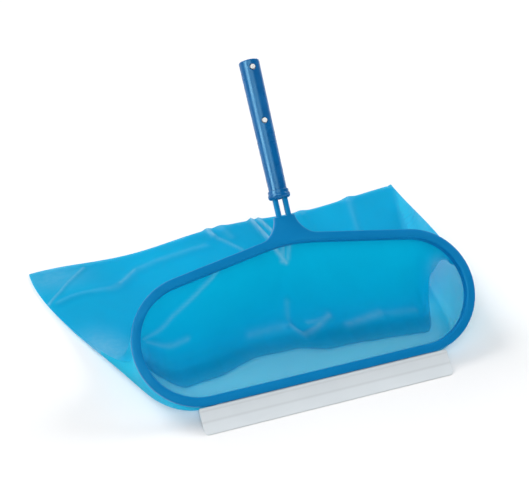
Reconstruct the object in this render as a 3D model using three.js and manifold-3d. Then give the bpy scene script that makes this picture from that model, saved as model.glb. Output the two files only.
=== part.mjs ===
// Leaf skimmer net: an oval hoop with a fine mesh bag, a scraper blade along the bottom edge, and a
// tubular socket handle that plugs into a telescopic pole and locks there with two spring clips.
// Millimetres, +Z up. It stands as it does on a flat deck: on the blade's edge and the bag's bottom.
import * as THREE from "three";
import { mergeVertices } from "three/addons/utils/BufferGeometryUtils.js";
import Module from "manifold-3d";

const wasm = await Module();
wasm.setup();

// ---- driving dimensions ----

const RAD = Math.PI / 180;
const GAP = 0.35; // clearance between neighbouring pieces

// hoop, in its own plane: X along its width, Y up its slope, Z out of its front face
const LEAN = 40.56 * RAD; // slope of the hoop's plane above the ground
const LOBE_X = 167; // middle of each round end, from the centre line
const LOBE_R = 86.7; // round ends, measured to the middle of the bar
const BAR_RISE = 9.9 * RAD; // slope of the two top bars up to the middle
const PEAK_R = 225; // rounding where the top bars meet
const BAR_W = 13.5; // width of the bar
const HALF_BAR = BAR_W / 2;
const OUTER_Y = LOBE_R + HALF_BAR;
const FRONT_DEPTH = 9; // thickness of the front moulding
const SLIT = 0.9; // gap for the hem, between the front moulding and the clamp ring
const RING_DEPTH = 5.1; // thickness of the clamp ring
const RING_OUTER = 5.4; // outer edge of the clamp ring, from the middle of the bar
const RING_FRONT_Z = -FRONT_DEPTH - SLIT;
const RING_BACK_Z = RING_FRONT_Z - RING_DEPTH;
const EDGE_ROUND = 2.6; // rounding of the front moulding's edges
const LOBE_STEPS = 32;
const HIDDEN_LOBE_STEPS = 16; // on outlines that other pieces cover
const PEAK_STEPS = 6;

// cord sewn in the bag's hem, and its groove
const HEM_U = 1.8; // from the middle of the bar
const HEM_R = 1.5;
const HEM_Z = -FRONT_DEPTH - SLIT / 2;

// neck and prongs
const NECK_HALF_W = 15.2;
const NECK_TOP_Y = 149.5;
const NECK_FOOT_X = 42; // where the neck's flare leaves the top bar
const PRONG_INNER_X = 3.5;
const PRONG_W = 7.8;
const PRONG_THICK = 8;
const PRONG_ROUND = 2.6;
const PRONG_L = 46;
const NECK_FLARE = [12, 17]; // reach of the flare's curve along the top bar and down the neck

// handle, in its own frame: Y along its axis towards the free end, Z towards the front
const HANDLE_Y = 198.4; // where its axis meets the hoop's front plane
const HANDLE_TILT = 5.9 * RAD; // bent forward from the hoop's plane
const COLLAR_Y = -22.5; // lower end of the handle
const STOP_Y = -10.5; // shoulder that a pole's end seats on
const COLLAR_R = 16.5;
const SLEEVE_R = 15.4; // the narrower part of the collar, up to the shoulder
const STOP_LAND = 4; // straight length of the tube above the shoulder
const TUBE_END_Y = 186;
const TUBE_R_AT_STOP = 13.57;
const TUBE_R_AT_END = 15.47;
const BORE_R_AT_COLLAR = 11.65;
const BORE_R_AT_END = 12.9;
const PLUG_R = 11.25;
const PLUG_TOP_Y = 32;
const PLUG_CORE_R = 6.5;
const PLUG_FLOOR_Y = 6;

// spring clips
const HOLE_PITCH = 81; // between the two pairs of button holes
const UPPER_BUTTON_Y = TUBE_END_Y - 12;
const BUTTON_R = 3.6;
const BUTTON_HOLE_R = 4.7;
const BUTTON_PROUD = 2.6;
const CLIP_REACH = 52; // from the clip's bend to its buttons
const LEAF_W = 7;
const LEAF_T = 1;
const LEAF_OUTER_Z = 11.2; // outer face of a leaf under its button
const SEAT_HALF = 5.5; // flat seat of the leaf, either side of the button
const LEAF_ROOT_Z = 1.3; // inner face of a leaf beside the bend

// screws
const SCREW_R = 1.5;
const SCREW_HEAD_R = 2.8;
const SCREW_HEAD_H = 1.8;
const SCREW_U = -3.4; // from the middle of the bar
const SCREW_TIP_Z = -3.5;
const BOTTOM_SCREW_X = [-140, -48, 48, 140];
const END_SCREW_ANGLES = [-42, 8, 58]; // degrees round each lobe
const TOP_SCREW_X = 88;
const HANDLE_SCREW = { y: -16, r: 1.7, headR: 3.4, headH: 2, underZ: -14.1, tipZ: -3.6, recessR: 4.2 };

// scraper blade, in the hoop's frame
const BLADE_HALF_L = 188.5;
const BLADE_TOP_Y = -OUTER_Y - GAP;
const BLADE_H = 38.3;
const BLADE_FRONT_Z = -0.7;
const BLADE_BACK_Z = -6.4;
const BLADE_TIP_Z = 2.2;
const LAND_W = 3.2; // flat edge that rests on the ground
const BLADE_CREASE = 0.38; // share of the height above the forward turn
const BLADE_CORNER = 6; // rounding of the lower corners
const BLADE_SHOULDER = 5; // rounding of the upper corners
const TONGUE_HALF_L = 162;
const TONGUE_TOP_Y = -81.6;
const TONGUE_Z = [-6, -3.3];

// bag, in the ground's frame: X along the hoop's width, Y away from its front
const CLOTH_T = 1.2;
const FAR_LEFT = [-363, 423];
const FAR_RIGHT = [295, 467];
const SEAM_SCALLOP = 13; // depth of the two hollows in the far seam's line
const SIDE_GAP = 1.2; // half the gap between the two panels where they are sewn at the sides
const LOBE_PANELS = 10;
const BAR_PANELS = 4;
const PEAK_PANELS = 4;
const SIDE_TUCK = 0.98; // at its sides the cloth comes down a little inside the hoop
const SIDE_BACK = 14; // and this far behind it
const SIDE_BOW = 1.02; // and runs out to this share of the way to its corner
const CORNER_LEAD = 100; // this far before the far seam
const DROP_BACK = 8; // in the middle the bottom panel comes down this far behind the hoop
const FLAT_FROM = 26; // and lies flat from this far behind it
const TOE_LINE = [
  [-210, 95],
  [-150, 100],
  [-65, 122],
  [-15, 120],
  [35, 104],
  [210, 94],
]; // the top panel's slack lies forward to this line of (x, y) points, and folds under there
const TOE_ROUND = 1.5; // half the height of that fold
const TOE_FADE = [0.05, 0.2]; // share of the mouth's length over which the slack fades out at each side
const TAUT = [0.86, 1]; // share of the mouth's length over which the right side pulls straight
const TAUT_RISE = 40; // how far the right side starts above a straight line
const HANG_ROWS = 7; // rows from the mouth to the fold
const LAID_ROWS = [0, 0.12, 0.35, 0.65, 1]; // rows from the fold to the far seam, as shares of that way

// ---- solids ----

const colours = {
  frame: [0x0a5fae, 0.35],
  ring: [0x0a5fae, 0.45],
  tube: [0x1260a4, 0.3],
  blade: [0xe6ebef, 0.4],
  cloth: [0x14a0d6, 0.8],
  nylon: [0xf4f4f2, 0.4],
  steel: [0xb9bcc0, 0.3],
};

function material(name) {
  const [color, roughness] = colours[name];
  return new THREE.MeshStandardMaterial({ color, roughness, metalness: name === "steel" ? 1 : 0 });
}

function solid(geometry) {
  const bare = geometry.clone();
  bare.deleteAttribute("normal");
  bare.deleteAttribute("uv");
  const merged = mergeVertices(bare, 1e-4);
  return new wasm.Manifold(
    new wasm.Mesh({
      numProp: 3,
      vertProperties: new Float32Array(merged.attributes.position.array),
      triVerts: new Uint32Array(merged.index.array),
    }),
  );
}

function shell(made) {
  const mesh = made.getMesh();
  const geometry = new THREE.BufferGeometry();
  geometry.setAttribute("position", new THREE.BufferAttribute(mesh.vertProperties, 3));
  geometry.setIndex(new THREE.BufferAttribute(mesh.triVerts, 1));
  return geometry.toNonIndexed();
}

function addMesh(group, name, geometry, finish) {
  geometry.computeVertexNormals();
  const mesh = new THREE.Mesh(geometry, material(finish));
  mesh.name = name;
  group.add(mesh);
  return mesh;
}

function prism(points, low, high) {
  const shape = new THREE.Shape(points.map(([x, y]) => new THREE.Vector2(x, y)));
  return new THREE.ExtrudeGeometry(shape, { depth: high - low, bevelEnabled: false }).translate(0, 0, low);
}

// A section drawn as (y, z) points, run along X from low to high.
function bar(points, low, high) {
  const toX = new THREE.Matrix4().makeBasis(
    new THREE.Vector3(0, 1, 0),
    new THREE.Vector3(0, 0, 1),
    new THREE.Vector3(1, 0, 0),
  );
  return prism(points, low, high).applyMatrix4(toX);
}

function roundedBar(shape, low, high, round, steps) {
  return new THREE.ExtrudeGeometry(shape, {
    depth: high - low - 2 * round,
    bevelThickness: round,
    bevelSize: round,
    bevelOffset: -round,
    bevelSegments: steps,
    curveSegments: 1,
  }).translate(0, 0, low + round);
}

// A turned solid about the Y axis, from (radius, y) points that start and end on the axis.
function turned(points, sides) {
  return new THREE.LatheGeometry(points.map(([r, y]) => new THREE.Vector2(r, y)), sides);
}

// A rod along Z from low to high, standing at (x, y).
function rod(radius, low, high, sides, [x, y]) {
  return new THREE.CylinderGeometry(radius, radius, high - low, sides)
    .rotateX(Math.PI / 2)
    .translate(x, y, (low + high) / 2);
}

function without(body, cuts) {
  return cuts.reduce((left, cut) => left.subtract(solid(cut)), body);
}

// ---- the hoop's outline ----

function arc(cx, cy, radius, from, to, steps) {
  const points = [];
  for (let i = 0; i <= steps; i++) {
    const angle = from + ((to - from) * i) / steps;
    points.push([cx + radius * Math.cos(angle), cy + radius * Math.sin(angle)]);
  }
  return points;
}

const PEAK_Y = (LOBE_X * Math.sin(BAR_RISE) + LOBE_R - PEAK_R) / Math.cos(BAR_RISE);

// The loop at a distance u outside the middle of the bar, anticlockwise from the bottom right.
function loop(u, steps) {
  const quarter = Math.PI / 2;
  return [
    ...arc(LOBE_X, 0, LOBE_R + u, -quarter, quarter - BAR_RISE, steps),
    ...arc(0, PEAK_Y, PEAK_R + u, quarter - BAR_RISE, quarter + BAR_RISE, PEAK_STEPS),
    ...arc(-LOBE_X, 0, LOBE_R + u, quarter + BAR_RISE, 3 * quarter, steps),
  ];
}

// The height of the top bar's line at x, at a distance u outside the middle of the bar.
function topBarY(x, u) {
  return (LOBE_X * Math.sin(BAR_RISE) + LOBE_R + u - Math.abs(x) * Math.sin(BAR_RISE)) / Math.cos(BAR_RISE);
}

function vectors(points) {
  return points.map(([x, y]) => new THREE.Vector2(x, y));
}

function ringShape(outer, inner, steps) {
  const shape = new THREE.Shape(vectors(loop(outer, steps)));
  shape.holes.push(new THREE.Path(vectors(loop(inner, steps)).reverse()));
  return shape;
}

// The hoop's outline with the neck that rises from its top bars.
function neckedShape() {
  const quarter = Math.PI / 2;
  const footY = topBarY(NECK_FOOT_X, HALF_BAR);
  const right = new THREE.CubicBezierCurve(
    new THREE.Vector2(NECK_FOOT_X, footY),
    new THREE.Vector2(NECK_FOOT_X - NECK_FLARE[0], footY + NECK_FLARE[0] * Math.tan(BAR_RISE)),
    new THREE.Vector2(NECK_HALF_W + 2.3, NECK_TOP_Y - NECK_FLARE[1]),
    new THREE.Vector2(NECK_HALF_W, NECK_TOP_Y),
  ).getPoints(10);
  const left = right.map((p) => new THREE.Vector2(-p.x, p.y)).reverse();
  const lobes = [
    vectors(arc(LOBE_X, 0, OUTER_Y, -quarter, quarter - BAR_RISE, LOBE_STEPS)),
    vectors(arc(-LOBE_X, 0, OUTER_Y, quarter + BAR_RISE, 3 * quarter, LOBE_STEPS)),
  ];
  const shape = new THREE.Shape([...lobes[0], ...right, ...left, ...lobes[1]]);
  shape.holes.push(new THREE.Path(vectors(loop(-HALF_BAR, LOBE_STEPS)).reverse()));
  return shape;
}

// A ring of eight-sided section that follows the loop, for the hem cord and its groove.
function hemRing(radius) {
  const chamfer = radius * (2 - Math.SQRT2);
  const shape = ringShape(HEM_U + radius, HEM_U - radius, HIDDEN_LOBE_STEPS);
  return roundedBar(shape, HEM_Z - radius, HEM_Z + radius, chamfer, 1);
}

// ---- screws ----

// Places of the ring screws in the hoop's plane: the bottom ones, then the right half, then the left.
function screwPlaces() {
  const radius = LOBE_R + SCREW_U;
  const bottom = BOTTOM_SCREW_X.map((x) => [x, -radius]);
  const end = END_SCREW_ANGLES.map((degrees) => {
    return [LOBE_X + radius * Math.cos(degrees * RAD), radius * Math.sin(degrees * RAD)];
  });
  const right = [...end, [TOP_SCREW_X, topBarY(TOP_SCREW_X, SCREW_U)]];
  return [...bottom, ...right, ...right.map(([x, y]) => [-x, y])];
}

function screwHoles(places, low, high) {
  return places.map((place) => rod(SCREW_R + GAP, low, high, 12, place));
}

// A pan-head screw with its axis on Z: the head's underside is at underZ, and its tip at tipZ.
function screw(underZ, tipZ, shank, head, headHeight) {
  const profile = [
    [0, tipZ],
    [shank * 0.5, tipZ],
    [shank, tipZ - 2],
    [shank, underZ],
    [head, underZ],
    [head, underZ - headHeight * 0.45],
    [head * 0.6, underZ - headHeight],
    [0, underZ - headHeight],
  ];
  return turned(profile.reverse(), 12).rotateX(Math.PI / 2);
}

// ---- front frame ----

// From the handle's frame to the hoop's.
function handleMatrix() {
  const turn = new THREE.Matrix4().makeRotationX(HANDLE_TILT);
  return new THREE.Matrix4().makeTranslation(0, HANDLE_Y, 0).multiply(turn);
}

function prong(side) {
  const half = PRONG_W / 2;
  const x = half - PRONG_ROUND;
  const y = PRONG_THICK / 2 - PRONG_ROUND;
  const quarter = Math.PI / 2;
  const shape = new THREE.Shape();
  [[x, -y], [x, y], [-x, y], [-x, -y]].forEach(([cx, cy], i) => {
    shape.absarc(cx, cy, PRONG_ROUND, (i - 1) * quarter, i * quarter);
  });
  return new THREE.ExtrudeGeometry(shape, { depth: PRONG_L, bevelEnabled: false, curveSegments: 4 })
    .rotateX(-Math.PI / 2)
    .translate(side * (PRONG_INNER_X + half), COLLAR_Y + 2 - PRONG_L, 0);
}

function plug() {
  const outer = [
    [0, COLLAR_Y + 1],
    [PLUG_R, COLLAR_Y + 1],
    [PLUG_R, PLUG_TOP_Y - 1.5],
    [PLUG_R - 1.5, PLUG_TOP_Y],
    [PLUG_CORE_R, PLUG_TOP_Y],
    [PLUG_CORE_R, PLUG_FLOOR_Y],
    [0, PLUG_FLOOR_Y],
  ];
  return turned(outer, 32);
}

// A flat block along X whose (y, z) section is a rectangle.
function slab(halfL, lowY, highY, lowZ, highZ) {
  return new THREE.BoxGeometry(2 * halfL, highY - lowY, highZ - lowZ).translate(
    0,
    (lowY + highY) / 2,
    (lowZ + highZ) / 2,
  );
}

function tongueSlot() {
  const low = -OUTER_Y - 5;
  return slab(TONGUE_HALF_L + GAP, low, TONGUE_TOP_Y + GAP, TONGUE_Z[0] - GAP, TONGUE_Z[1] + GAP);
}

function frontFrame() {
  const whole = solid(roundedBar(neckedShape(), -FRONT_DEPTH - 2 * EDGE_ROUND, 0, EDGE_ROUND, 3));
  const kept = solid(slab(300, -120, 180, -FRONT_DEPTH, 1));
  const toHoop = handleMatrix();
  const added = [prong(-1), prong(1), plug()].map((piece) => solid(piece.applyMatrix4(toHoop)));
  const body = added.reduce((all, piece) => all.add(piece), whole.intersect(kept));
  return without(body, [
    tongueSlot(),
    hemRing(HEM_R + GAP),
    ...screwHoles(screwPlaces(), -FRONT_DEPTH - 1, SCREW_TIP_Z + GAP),
    handleScrewHole().applyMatrix4(toHoop),
  ]);
}

// ---- clamp ring ----

function clampRing() {
  const shape = ringShape(RING_OUTER, -HALF_BAR, LOBE_STEPS);
  const whole = solid(roundedBar(shape, RING_BACK_Z, RING_FRONT_Z + 1.2, 1.2, 1));
  const kept = solid(slab(300, -120, 180, RING_BACK_Z - 1, RING_FRONT_Z));
  return without(whole.intersect(kept), [
    hemRing(HEM_R + GAP),
    ...screwHoles(screwPlaces(), RING_BACK_Z - 1, RING_FRONT_Z + 1),
  ]);
}

// ---- scraper blade ----

// The blade's (y, z) section: a flat upper half, a lower half that turns forward, and a flat edge.
function bladeSection() {
  const tipY = BLADE_TOP_Y - BLADE_H;
  const land = [tipY + LAND_W * Math.cos(LEAN), BLADE_TIP_Z - LAND_W * Math.sin(LEAN)];
  const creaseY = BLADE_TOP_Y - BLADE_CREASE * BLADE_H;
  return [
    [BLADE_TOP_Y, BLADE_FRONT_Z - 1.6],
    [BLADE_TOP_Y - 0.5, BLADE_FRONT_Z - 0.5],
    [BLADE_TOP_Y - 1.6, BLADE_FRONT_Z],
    [creaseY, BLADE_FRONT_Z],
    [tipY + 4, BLADE_TIP_Z - 0.4],
    [tipY, BLADE_TIP_Z],
    land,
    [creaseY + 2, BLADE_FRONT_Z - 3.2],
    [BLADE_TOP_Y - 7, BLADE_BACK_Z],
    [BLADE_TOP_Y, BLADE_BACK_Z],
  ].reverse();
}

// The right half of the blade's outline from the bottom up, as seen from its front.
function bladeSide() {
  const low = BLADE_TOP_Y - BLADE_H - BLADE_CORNER;
  const top = BLADE_TOP_Y + 1;
  const side = new THREE.Path();
  side.moveTo(BLADE_HALF_L - BLADE_CORNER, low);
  side.lineTo(BLADE_HALF_L - BLADE_CORNER, low + BLADE_CORNER);
  side.quadraticCurveTo(BLADE_HALF_L, low + BLADE_CORNER, BLADE_HALF_L, low + 2.5 * BLADE_CORNER);
  side.lineTo(BLADE_HALF_L, top - BLADE_SHOULDER);
  side.quadraticCurveTo(BLADE_HALF_L, top, BLADE_HALF_L - BLADE_SHOULDER, top);
  return side.getPoints(6);
}

function bladeOutline() {
  const right = bladeSide();
  const left = right.map(({ x, y }) => new THREE.Vector2(-x, y)).reverse();
  const options = { depth: 30, bevelEnabled: false };
  return new THREE.ExtrudeGeometry(new THREE.Shape([...right, ...left]), options).translate(0, 0, -15);
}

function scraperBlade() {
  const blank = solid(bar(bladeSection(), -BLADE_HALF_L - 2, BLADE_HALF_L + 2));
  const tongue = slab(TONGUE_HALF_L, BLADE_TOP_Y - 1, TONGUE_TOP_Y, ...TONGUE_Z);
  const bottomScrews = screwPlaces().slice(0, BOTTOM_SCREW_X.length);
  const body = blank.intersect(solid(bladeOutline())).add(solid(tongue));
  return without(body, screwHoles(bottomScrews, TONGUE_Z[0] - 1, TONGUE_Z[1] + 1));
}

// ---- handle ----

// Radii of the tube and of its bore at a height y.
function tubeR(y) {
  return TUBE_R_AT_STOP + ((TUBE_R_AT_END - TUBE_R_AT_STOP) * (y - STOP_Y)) / (TUBE_END_Y - STOP_Y);
}

function boreR(y) {
  return BORE_R_AT_COLLAR + ((BORE_R_AT_END - BORE_R_AT_COLLAR) * (y - COLLAR_Y)) / (TUBE_END_Y - COLLAR_Y);
}

const BUTTON_HEIGHTS = [UPPER_BUTTON_Y, UPPER_BUTTON_Y - HOLE_PITCH];

// Clearance hole of the screw that comes in from the handle's back.
function handleScrewHole() {
  return rod(HANDLE_SCREW.r + GAP, -COLLAR_R - 2, HANDLE_SCREW.tipZ + GAP, 12, [0, HANDLE_SCREW.y]);
}

// The (radius, y) outline of the collar, from its lower end up to the shoulder.
function collarProfile() {
  return [
    [COLLAR_R - 1.8, COLLAR_Y],
    [COLLAR_R - 0.5, COLLAR_Y + 1.6],
    [COLLAR_R, COLLAR_Y + 3],
    [COLLAR_R, COLLAR_Y + 5.5],
    [COLLAR_R - 0.4, COLLAR_Y + 6.4],
    [SLEEVE_R, COLLAR_Y + 7],
    [SLEEVE_R, STOP_Y - 0.3],
    [SLEEVE_R - 0.2, STOP_Y],
  ];
}

function handleTube() {
  const profile = [
    [boreR(COLLAR_Y), COLLAR_Y],
    ...collarProfile(),
    [tubeR(STOP_Y), STOP_Y],
    [tubeR(STOP_Y), STOP_Y + STOP_LAND],
    [tubeR(TUBE_END_Y - 1.5), TUBE_END_Y - 1.5],
    [tubeR(TUBE_END_Y) - 1.3, TUBE_END_Y],
    [boreR(TUBE_END_Y), TUBE_END_Y],
    [boreR(COLLAR_Y), COLLAR_Y],
  ];
  const through = COLLAR_R + 2;
  const { y, underZ, recessR } = HANDLE_SCREW;
  return without(solid(turned(profile, 48)), [
    ...BUTTON_HEIGHTS.map((height) => rod(BUTTON_HOLE_R, -through, through, 20, [0, height])),
    rod(recessR, -through, underZ - 0.05, 16, [0, y]),
    handleScrewHole(),
  ]);
}

// ---- spring clips ----

// One leaf of a clip, on the front (side 1) or the back (side -1), for buttons at a height y.
function clipLeaf(y, side) {
  const bendY = y - CLIP_REACH;
  const inner = LEAF_OUTER_Z - LEAF_T;
  const outline = [
    [bendY + 5, LEAF_ROOT_Z],
    [y - SEAT_HALF, inner],
    [y + SEAT_HALF, inner],
    [y + SEAT_HALF, LEAF_OUTER_Z],
    [y - SEAT_HALF - 0.1, LEAF_OUTER_Z],
    [bendY + 4.8, LEAF_ROOT_Z + LEAF_T],
  ].map(([a, z]) => [a, side * z]);
  return bar(side > 0 ? outline : outline.reverse(), -LEAF_W / 2, LEAF_W / 2);
}

// The closed end of a clip: a V-shaped bend that the two leaves spring from.
function clipBend(y) {
  const bendY = y - CLIP_REACH;
  const outline = [
    [bendY + 4.4, -2.3],
    [bendY + 4.4, -1.2],
    [bendY + 1, -0.45],
    [bendY + 1, 0.45],
    [bendY + 4.4, 1.2],
    [bendY + 4.4, 2.3],
    [bendY, 1.5],
    [bendY - 1.2, 0],
    [bendY, -1.5],
  ];
  return bar(outline, -LEAF_W / 2, LEAF_W / 2);
}

// A domed button with its axis on Z, standing on a leaf at a height y.
function clipButton(y, side) {
  const foot = LEAF_OUTER_Z + 0.3;
  const tip = tubeR(y) + BUTTON_PROUD;
  const profile = [
    [0, foot],
    [BUTTON_R, foot],
    [BUTTON_R, tip - 1.2],
    [BUTTON_R - 0.5, tip - 0.45],
    [BUTTON_R - 1.5, tip],
    [0, tip],
  ];
  return turned(profile, 20)
    .rotateX((side * Math.PI) / 2)
    .translate(0, y, 0);
}

function addClip(group, name, y) {
  addMesh(group, name + "_clip_bend", clipBend(y), "steel");
  for (const [place, side] of [["front", 1], ["rear", -1]]) {
    addMesh(group, `${name}_clip_${place}_leaf`, clipLeaf(y, side), "steel");
    addMesh(group, `${name}_clip_${place}_button`, clipButton(y, side), "nylon");
  }
}

// ---- bag ----

// Points along a straight stretch, without its ends.
function between([x0, y0], [x1, y1], count) {
  return Array.from({ length: count }, (_, i) => {
    const t = (i + 1) / (count + 1);
    return [x0 + (x1 - x0) * t, y0 + (y1 - y0) * t];
  });
}

// Points along half of the mouth, from the left end of the hoop to the right, over or under it.
function mouthHalf(over) {
  const radius = LOBE_R + RING_OUTER + GAP + CLOTH_T / 2;
  const quarter = Math.PI / 2;
  const split = SIDE_GAP / radius;
  const turn = over ? quarter - BAR_RISE : -quarter;
  const right = arc(LOBE_X, 0, radius, turn, over ? split : -split, LOBE_PANELS);
  const left = right.map(([x, y]) => [-x, y]).reverse();
  if (!over) return [...left, ...between(left.at(-1), right[0], 2 * BAR_PANELS), ...right];
  const peak = arc(0, PEAK_Y, PEAK_R + radius - LOBE_R, quarter + BAR_RISE, quarter - BAR_RISE, PEAK_PANELS);
  const bars = [between(left.at(-1), peak[0], BAR_PANELS), between(peak.at(-1), right[0], BAR_PANELS)];
  return [...left, ...bars[0], ...peak, ...bars[1], ...right];
}

// How far along a line of points each one is, from 0 to 1.
function shares(points) {
  const run = [0];
  points.slice(1).forEach(([x, y], i) => {
    run.push(run[i] + Math.hypot(x - points[i][0], y - points[i][1]));
  });
  return run.map((length) => length / run.at(-1));
}

// The middle surface of one panel as rows of points from the mouth to the far seam.
function panelRows(toGround, over) {
  const mouth = mouthHalf(over);
  const share = shares(mouth);
  const lowest = CLOTH_T / 2;
  const seamZ = lowest + (over ? CLOTH_T + GAP : 0);
  const placed = (z) => mouth.map(([x, y]) => new THREE.Vector3(x, y, z).applyMatrix4(toGround));
  const start = placed(RING_BACK_Z - 0.5);
  const rows = [placed(RING_FRONT_Z - 0.3)];
  const columns = start.map((from, i) => panelColumn(from, share[i], seamZ, over));
  columns[0].forEach((_, j) => rows.push(columns.map((column) => column[j])));
  return rows.map((row) => row.map((p) => new THREE.Vector3(p.x, p.y, Math.max(p.z, lowest))));
}

// The cloth's line from a point on the mouth to the far seam, at a share s of the way round the mouth.
function panelColumn(from, s, seamZ, over) {
  const { lerp, smoothstep } = THREE.MathUtils;
  const hollow = SEAM_SCALLOP * Math.sin(2 * Math.PI * s) ** 2;
  const seamX = lerp(FAR_LEFT[0], FAR_RIGHT[0], s);
  const seam = new THREE.Vector3(seamX, lerp(FAR_LEFT[1], FAR_RIGHT[1], s) - hollow, seamZ);
  const middle = over ? slackColumn(from, seam) : flatColumn(from, seam);
  const share = smoothstep(Math.min(s, 1 - s), ...TOE_FADE);
  return sideColumn(from, seam, smoothstep(s, ...TAUT)).map((point, j) => point.lerp(middle[j], share));
}

// At the sides: down behind the hoop and back, coming slowly to the ground, or straight back if taut.
function sideColumn(from, seam, taut) {
  const foot = new THREE.Vector3(from.x * SIDE_TUCK, from.y + SIDE_BACK, seam.z);
  const run = new THREE.Vector3(THREE.MathUtils.lerp(from.x, seam.x, SIDE_BOW), seam.y - CORNER_LEAD, seam.z);
  const rise = new THREE.Vector3(0, 0, TAUT_RISE);
  foot.lerp(from.clone().lerp(seam, 1 / 3).add(rise), taut);
  run.lerp(from.clone().lerp(seam, 2 / 3), taut);
  const curve = new THREE.CubicBezierCurve3(from, foot, run, seam);
  const hang = Array.from({ length: HANG_ROWS + 1 }, (_, j) => (0.5 * j) / HANG_ROWS);
  const laid = LAID_ROWS.map((share) => 0.55 + 0.45 * share);
  return [...hang, 0.52, ...laid].map((t) => curve.getPoint(t));
}

// The bottom panel's middle: down to the ground close behind the hoop, and flat from there.
function flatColumn(from, seam) {
  const at = (back) => new THREE.Vector3(from.x, from.y + back, seam.z);
  const flat = at(FLAT_FROM);
  const hang = new THREE.CubicBezierCurve3(from, at(DROP_BACK), at(FLAT_FROM / 2), flat).getPoints(HANG_ROWS);
  const laid = LAID_ROWS.map((share) => flat.clone().lerp(seam, 0.06 + 0.94 * share));
  return [...hang, flat.clone().lerp(seam, 0.03), ...laid];
}

// The top panel's middle: down and forward to the fold, and back along the ground under it.
function slackColumn(from, seam) {
  const toeY = lineAt(TOE_LINE, from.x);
  const deep = from.y - toeY;
  const toe = new THREE.Vector3(from.x, toeY, seam.z);
  const upper = toe.clone().setZ(seam.z + 2 * TOE_ROUND);
  const high = new THREE.Vector3(from.x, from.y - 0.05 * deep, 0.4 * from.z);
  const low = new THREE.Vector3(from.x, from.y - 0.55 * deep, upper.z);
  const hang = new THREE.CubicBezierCurve3(from, high, low, upper).getPoints(HANG_ROWS);
  const tip = new THREE.Vector3(from.x, toeY - TOE_ROUND, seam.z + TOE_ROUND);
  return [...hang, tip, ...LAID_ROWS.map((share) => toe.clone().lerp(seam, share))];
}

// Height at x of a line through (x, y) points, eased from each point to the next.
function lineAt(points, x) {
  const { lerp, smoothstep, clamp } = THREE.MathUtils;
  const i = clamp(points.findIndex((point) => point[0] > x), 1, points.length - 1);
  return lerp(points[i - 1][1], points[i][1], smoothstep(x, points[i - 1][0], points[i][0]));
}

// A closed sheet of the cloth's thickness about rows of points.
function sheet(rows, outwards) {
  const { clamp } = THREE.MathUtils;
  const count = rows[0].length;
  const at = (j, i) => rows[clamp(j, 0, rows.length - 1)][clamp(i, 0, count - 1)];
  const positions = [];
  const normalAt = (j, i) => {
    const along = at(j + 1, i).clone().sub(at(j - 1, i));
    const across = at(j, i + 1).clone().sub(at(j, i - 1));
    return across.cross(along).normalize().multiplyScalar(outwards);
  };
  for (const side of [1, -1]) {
    rows.forEach((row, j) => {
      row.forEach((p, i) => {
        const q = p.clone().addScaledVector(normalAt(j, i), (side * CLOTH_T) / 2);
        positions.push(q.x, q.y, q.z);
      });
    });
  }
  const geometry = new THREE.BufferGeometry();
  geometry.setAttribute("position", new THREE.Float32BufferAttribute(positions, 3));
  geometry.setIndex(sheetFaces(rows.length, count, outwards));
  return geometry.toNonIndexed();
}

function sheetFaces(rows, count, outwards) {
  const faces = [];
  const under = rows * count;
  const quad = (a, b, c, d) => {
    faces.push(...(outwards > 0 ? [a, b, c, a, c, d] : [a, c, b, a, d, c]));
  };
  for (let j = 0; j < rows - 1; j++) {
    for (let i = 0; i < count - 1; i++) {
      const a = j * count + i;
      quad(a, a + 1, a + count + 1, a + count);
      quad(under + a, under + a + count, under + a + count + 1, under + a + 1);
    }
    const left = j * count;
    const right = left + count - 1;
    quad(left, left + count, under + left + count, under + left);
    quad(right, under + right, under + right + count, right + count);
  }
  const last = (rows - 1) * count;
  for (let i = 0; i < count - 1; i++) {
    quad(i, under + i, under + i + 1, i + 1);
    quad(last + i, last + i + 1, under + last + i + 1, under + last + i);
  }
  return faces;
}

// ---- assembly ----

const skimmer = new THREE.Group();
const hoop = new THREE.Group();
hoop.rotation.x = LEAN;
const tipY = BLADE_TOP_Y - BLADE_H;
hoop.position.y = -(tipY * Math.cos(LEAN) - BLADE_TIP_Z * Math.sin(LEAN));
hoop.position.z = -(tipY * Math.sin(LEAN) + BLADE_TIP_Z * Math.cos(LEAN));
skimmer.add(hoop);
const handle = new THREE.Group();
handle.position.y = HANDLE_Y;
handle.rotation.x = HANDLE_TILT;
hoop.add(handle);
skimmer.updateMatrixWorld(true);

addMesh(hoop, "front_frame", shell(frontFrame()), "frame");
addMesh(hoop, "clamp_ring", shell(clampRing()), "ring");
addMesh(hoop, "hem_cord", hemRing(HEM_R), "nylon");
addMesh(hoop, "scraper_blade", shell(scraperBlade()), "blade");
screwPlaces().forEach(([x, y], i) => {
  const made = screw(RING_BACK_Z - 0.3, SCREW_TIP_Z, SCREW_R, SCREW_HEAD_R, SCREW_HEAD_H);
  addMesh(hoop, `ring_screw_${i + 1}`, made, "steel").position.set(x, y, 0);
});

addMesh(handle, "handle_tube", shell(handleTube()), "tube");
const { y: screwY, underZ, tipZ, r, headR, headH } = HANDLE_SCREW;
const handleScrew = screw(underZ - GAP, tipZ, r, headR, headH);
addMesh(handle, "handle_screw", handleScrew, "steel").position.set(0, screwY, 0);
addClip(handle, "upper", BUTTON_HEIGHTS[0]);
addClip(handle, "lower", BUTTON_HEIGHTS[1]);

for (const [name, over] of [["bag_top_panel", true], ["bag_bottom_panel", false]]) {
  addMesh(skimmer, name, sheet(panelRows(hoop.matrixWorld, over), over ? 1 : -1), "cloth");
}

// The origin is the middle of the base of the whole object's box.
const part = new THREE.Group();
part.add(skimmer);
const box = new THREE.Box3().setFromObject(skimmer, true);
skimmer.position.set(-(box.min.x + box.max.x) / 2, -(box.min.y + box.max.y) / 2, -box.min.z);

export default part;
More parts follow.
